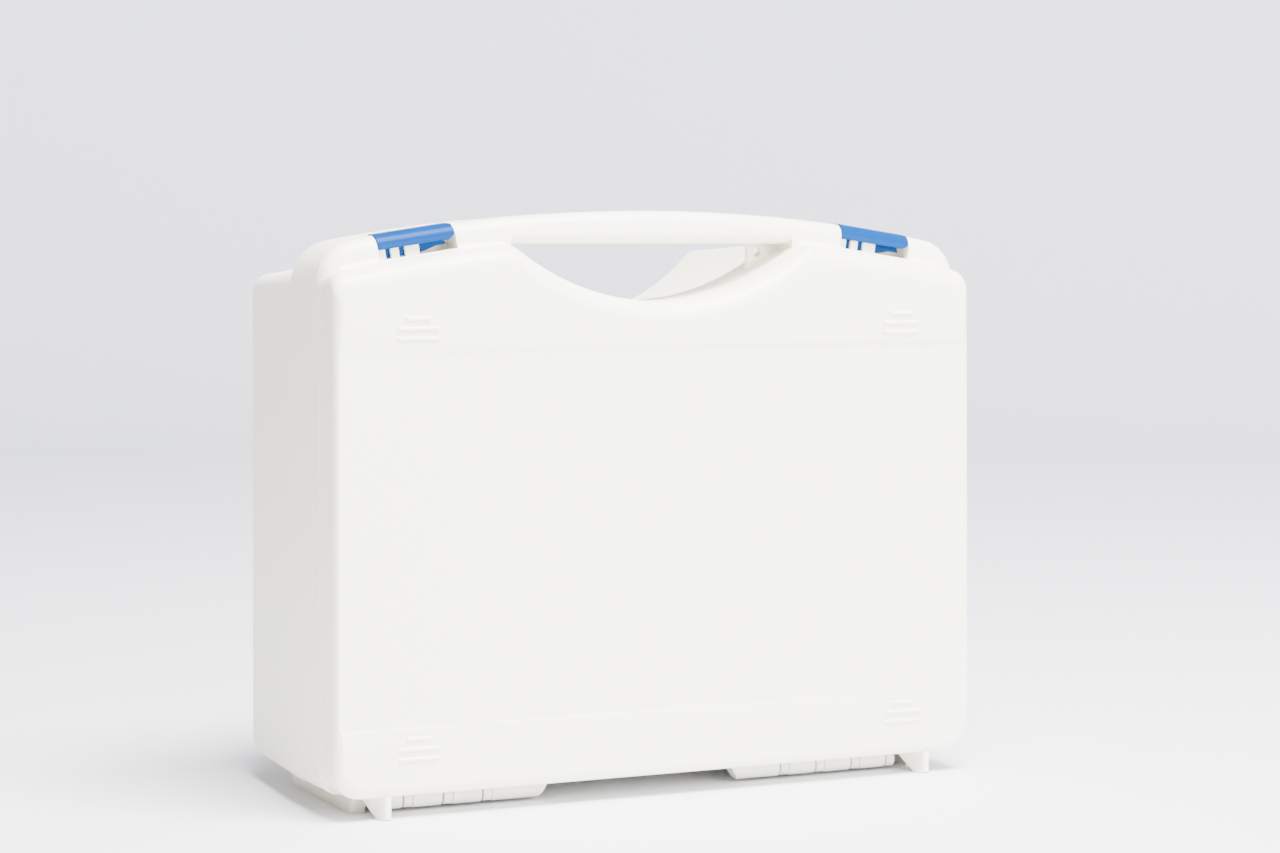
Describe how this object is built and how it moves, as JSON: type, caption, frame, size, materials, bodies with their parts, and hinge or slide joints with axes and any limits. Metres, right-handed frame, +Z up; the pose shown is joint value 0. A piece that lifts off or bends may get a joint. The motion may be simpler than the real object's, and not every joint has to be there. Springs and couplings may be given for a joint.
{
  "type": "carry case",
  "caption": "Moulded plastic carry case with a built-in grip, hinged lid and snap latches, standing upright on moulded feet.",
  "frame": {"origin": "under the middle of the case, on the surface it stands on", "axes": "+X along the width, to the right as seen from the front; -Y is the way the front of the lid faces; +Z up"},
  "size_m": [0.383, 0.1566, 0.3167],
  "materials": {
    "white_plastic": "fine satin moulded polypropylene",
    "blue_plastic": "semi-gloss moulded polypropylene",
    "steel": "drawn wire"
  },
  "bodies": {
    "base": {"base_shell": "white_plastic", "latch_pin_left": "steel", "latch_pin_right": "steel", "hinge_pin_left": "steel", "hinge_pin_right": "steel"},
    "lid": {"lid_shell": "white_plastic"},
    "left_latch": {"latch_left": "blue_plastic"},
    "right_latch": {"latch_right": "blue_plastic"}
  },
  "joints": [
    {"name": "lid_hinge", "type": "hinge", "parent": "base", "child": "lid", "pos_m": [0, -0.0539, 0.0062], "axis": [1, 0, 0], "range_deg": [0, 90]},
    {"name": "left_latch_hinge", "type": "hinge", "parent": "base", "child": "left_latch", "pos_m": [-0.13874, -0.0489, 0.30261], "axis": [-0.9891, 0, -0.1476], "range_deg": [0, 95]},
    {"name": "right_latch_hinge", "type": "hinge", "parent": "base", "child": "right_latch", "pos_m": [0.13874, -0.0489, 0.30261], "axis": [-0.9891, 0, 0.1476], "range_deg": [0, 95]}
  ]
}
